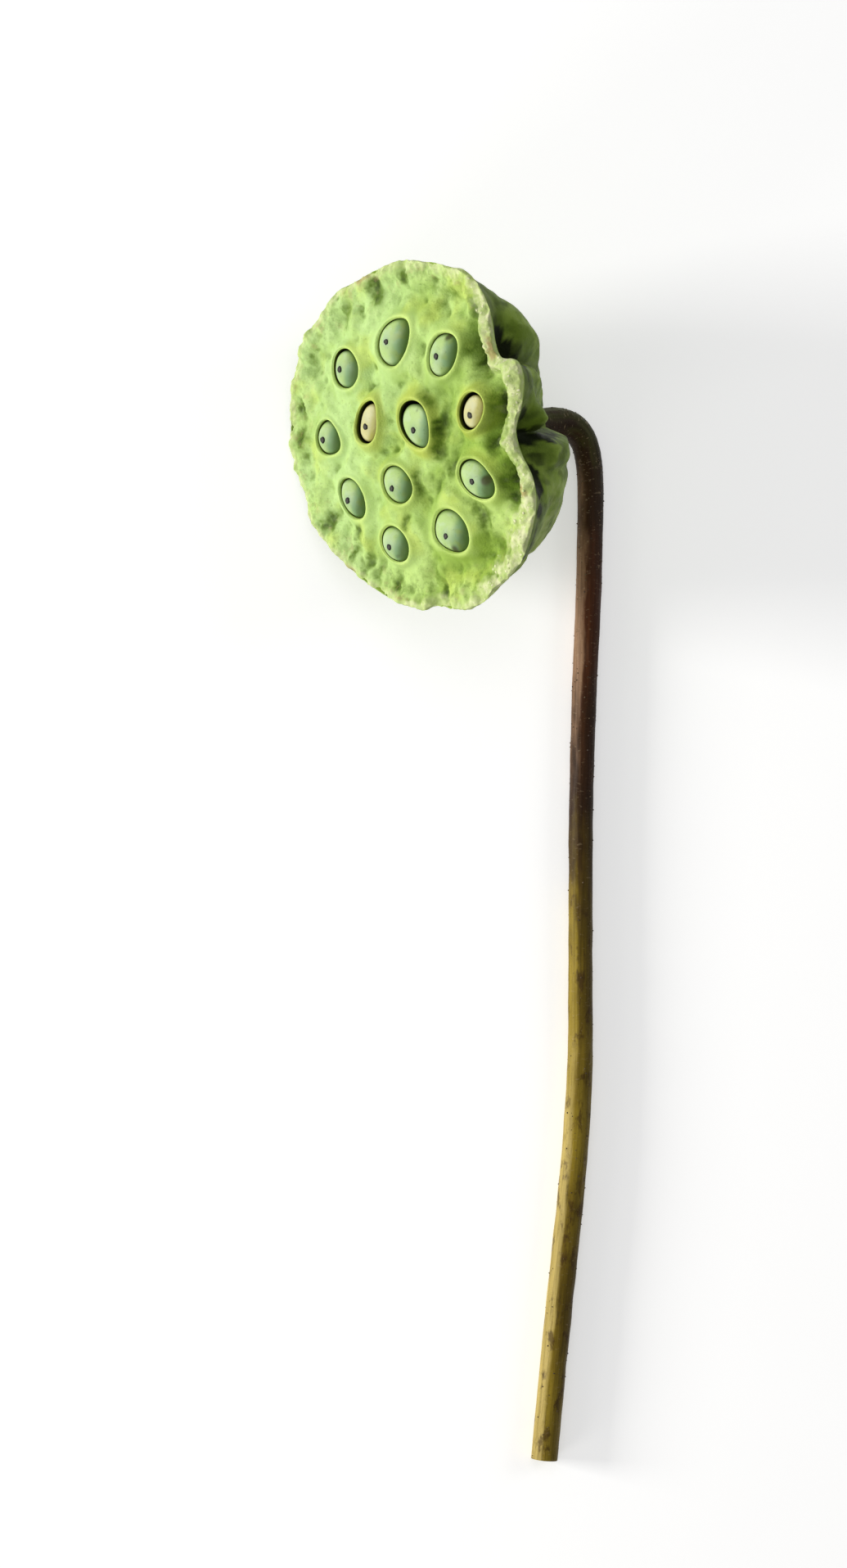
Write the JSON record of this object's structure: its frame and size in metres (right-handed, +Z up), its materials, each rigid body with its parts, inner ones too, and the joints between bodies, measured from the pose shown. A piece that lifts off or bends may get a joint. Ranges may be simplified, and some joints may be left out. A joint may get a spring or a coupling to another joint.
{
  "type": "lotus pod with stem",
  "caption": "Cut green lotus pod lying on its side: a wavy-rimmed receptacle with a loose nut in each pit, on a long bent stem.",
  "frame": {"origin": "centre of the box round the whole pod, on the surface that it lies on", "axes": "+Z up; +Y from the stem's cut end towards the head; +X from the head towards the stem's bend, so the face looks up and towards -X"},
  "size_m": [0.0875, 0.3286, 0.0785],
  "materials": {
    "pod_green": "matte",
    "nut_glaucous": "satin",
    "nut_cream": "satin",
    "stem_brown": "satin"
  },
  "bodies": {
    "root": {"receptacle": "pod_green", "nut_01": "nut_glaucous", "nut_02": "nut_glaucous", "nut_03": "nut_glaucous", "nut_04": "nut_cream", "nut_05": "nut_glaucous", "nut_06": "nut_cream", "nut_07": "nut_glaucous", "nut_08": "nut_glaucous", "nut_09": "nut_glaucous", "nut_10": "nut_glaucous", "nut_11": "nut_glaucous", "nut_12": "nut_glaucous", "stem": "stem_brown"}
  },
  "joints": []
}
